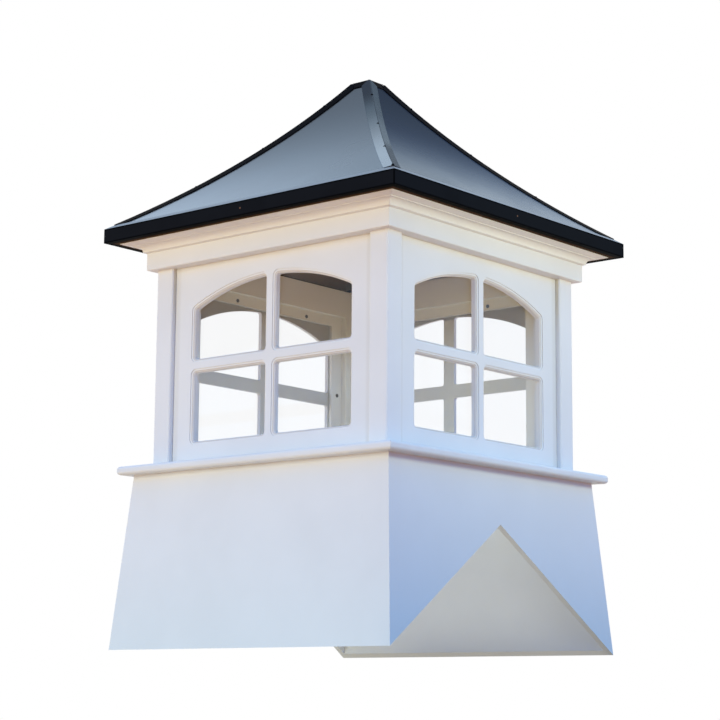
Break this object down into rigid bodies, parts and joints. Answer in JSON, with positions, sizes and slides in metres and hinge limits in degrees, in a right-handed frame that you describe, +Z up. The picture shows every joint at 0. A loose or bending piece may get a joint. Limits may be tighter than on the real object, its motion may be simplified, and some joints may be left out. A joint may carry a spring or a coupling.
{
  "type": "barn cupola",
  "caption": "Square vinyl cupola with a leaning base notched for a roof ridge, arched divided windows on every side, a crown moulding and a hollow-curved metal roof.",
  "frame": {"origin": "middle of the base at the level of its lowest edges", "axes": "+Z up, X along the ridge of the roof it straddles, so -Y is the front wall and +X the notched right wall"},
  "size_m": [0.704, 0.704, 1.089],
  "materials": {
    "white_vinyl": "smooth white vinyl, low sheen",
    "black_fascia": "gloss black coated sheet",
    "dark_roof_metal": "dark coated sheet, satin",
    "clear_glazing": "clear flat sheet"
  },
  "bodies": {
    "root": {"base_wall_back": "white_vinyl", "base_wall_front": "white_vinyl", "base_wall_left": "white_vinyl", "base_wall_right": "white_vinyl", "corner_post_back_left": "white_vinyl", "corner_post_back_right": "white_vinyl", "corner_post_front_left": "white_vinyl", "corner_post_front_right": "white_vinyl", "crown_back": "white_vinyl", "crown_front": "white_vinyl", "crown_left": "white_vinyl", "crown_right": "white_vinyl", "fascia_back": "black_fascia", "fascia_front": "black_fascia", "fascia_left": "black_fascia", "fascia_right": "black_fascia", "frieze_back": "white_vinyl", "frieze_front": "white_vinyl", "frieze_left": "white_vinyl", "frieze_right": "white_vinyl", "head_rail_back": "white_vinyl", "head_rail_front": "white_vinyl", "head_rail_left": "white_vinyl", "head_rail_right": "white_vinyl", "hip_cap_back_left": "dark_roof_metal", "hip_cap_back_right": "dark_roof_metal", "hip_cap_front_left": "dark_roof_metal", "hip_cap_front_right": "dark_roof_metal", "roof_panel_back": "dark_roof_metal", "roof_panel_front": "dark_roof_metal", "roof_panel_left": "dark_roof_metal", "roof_panel_right": "dark_roof_metal", "sill_back": "white_vinyl", "sill_front": "white_vinyl", "sill_left": "white_vinyl", "sill_right": "white_vinyl", "top_cap": "dark_roof_metal", "window_glass_back": "clear_glazing", "window_glass_front": "clear_glazing", "window_glass_left": "clear_glazing", "window_glass_right": "clear_glazing", "window_panel_back": "white_vinyl", "window_panel_front": "white_vinyl", "window_panel_left": "white_vinyl", "window_panel_right": "white_vinyl"}
  },
  "joints": []
}
